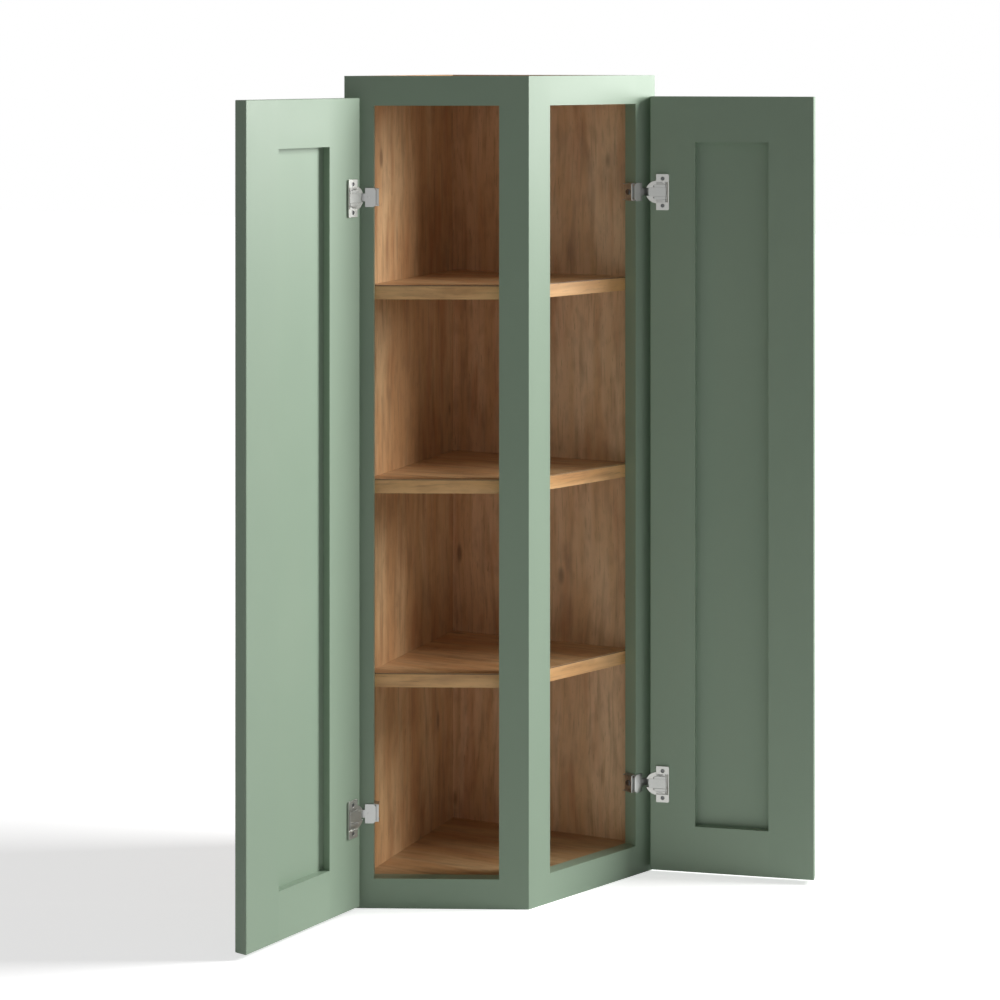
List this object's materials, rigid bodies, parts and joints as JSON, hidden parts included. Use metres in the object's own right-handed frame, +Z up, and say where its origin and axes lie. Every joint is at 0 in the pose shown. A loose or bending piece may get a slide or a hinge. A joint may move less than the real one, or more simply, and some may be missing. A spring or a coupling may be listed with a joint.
{
  "type": "wall end cabinet",
  "caption": "Tall kite-plan wall end cabinet with two angled face frames, shaker doors on concealed compact hinges and fixed shelves.",
  "frame": {"origin": "bottom centre of the face that goes on the wall", "axes": "+Z up, +X along the wall, +Y into the wall; the side that meets the neighbour faces -X"},
  "size_m": [0.5634, 0.5634, 1.0668],
  "materials": {
    "painted_wood": "sage green satin lacquer on solid hardwood",
    "painted_panel": "sage green satin lacquer on fibreboard",
    "carcass_plywood": "clear lacquered plywood",
    "shelf_plywood": "clear lacquered plywood with an edging strip",
    "nickel_plate": "nickel plated zinc casting",
    "nickel_steel": "nickel plated pressed steel",
    "spring_steel": "hardened strip",
    "screw_steel": "zinc plated"
  },
  "bodies": {
    "cabinet": {"back_panel": "carcass_plywood", "bottom_panel": "carcass_plywood", "left_bottom_rail": "painted_wood", "left_bracket_screws": "screw_steel", "left_inner_stile": "painted_wood", "left_lower_hinge_arm": "nickel_steel", "left_lower_hinge_bracket": "nickel_steel", "left_outer_stile": "painted_wood", "left_top_rail": "painted_wood", "left_upper_hinge_arm": "nickel_steel", "left_upper_hinge_bracket": "nickel_steel", "right_bottom_rail": "painted_wood", "right_bracket_screws": "screw_steel", "right_inner_stile": "painted_wood", "right_lower_hinge_arm": "nickel_steel", "right_lower_hinge_bracket": "nickel_steel", "right_outer_stile": "painted_wood", "right_top_rail": "painted_wood", "right_upper_hinge_arm": "nickel_steel", "right_upper_hinge_bracket": "nickel_steel", "shelf_1": "shelf_plywood", "shelf_2": "shelf_plywood", "shelf_3": "shelf_plywood", "side_panel": "carcass_plywood", "top_panel": "carcass_plywood"},
    "left_door": {"left_door_bottom_rail": "painted_wood", "left_door_free_stile": "painted_wood", "left_door_hinge_stile": "painted_wood", "left_door_panel": "painted_panel", "left_door_top_rail": "painted_wood", "left_lower_hinge_cover": "nickel_plate", "left_lower_hinge_cup": "nickel_plate", "left_lower_hinge_pin": "nickel_plate", "left_lower_hinge_spring": "spring_steel", "left_upper_hinge_cover": "nickel_plate", "left_upper_hinge_cup": "nickel_plate", "left_upper_hinge_pin": "nickel_plate", "left_upper_hinge_spring": "spring_steel"},
    "right_door": {"right_door_bottom_rail": "painted_wood", "right_door_free_stile": "painted_wood", "right_door_hinge_stile": "painted_wood", "right_door_panel": "painted_panel", "right_door_top_rail": "painted_wood", "right_lower_hinge_cover": "nickel_plate", "right_lower_hinge_cup": "nickel_plate", "right_lower_hinge_pin": "nickel_plate", "right_lower_hinge_spring": "spring_steel", "right_upper_hinge_cover": "nickel_plate", "right_upper_hinge_cup": "nickel_plate", "right_upper_hinge_pin": "nickel_plate", "right_upper_hinge_spring": "spring_steel"}
  },
  "joints": [
    {"name": "left_door_swing", "type": "hinge", "parent": "cabinet", "child": "left_door", "pos_m": [-0.13528, -0.30996, 0.5224], "axis": [0, 0, 1], "range_deg": [0, 124.5]},
    {"name": "right_door_swing", "type": "hinge", "parent": "cabinet", "child": "right_door", "pos_m": [0.15516, -0.01952, 0.5224], "axis": [0, 0, -1], "range_deg": [0, 124.5]}
  ]
}
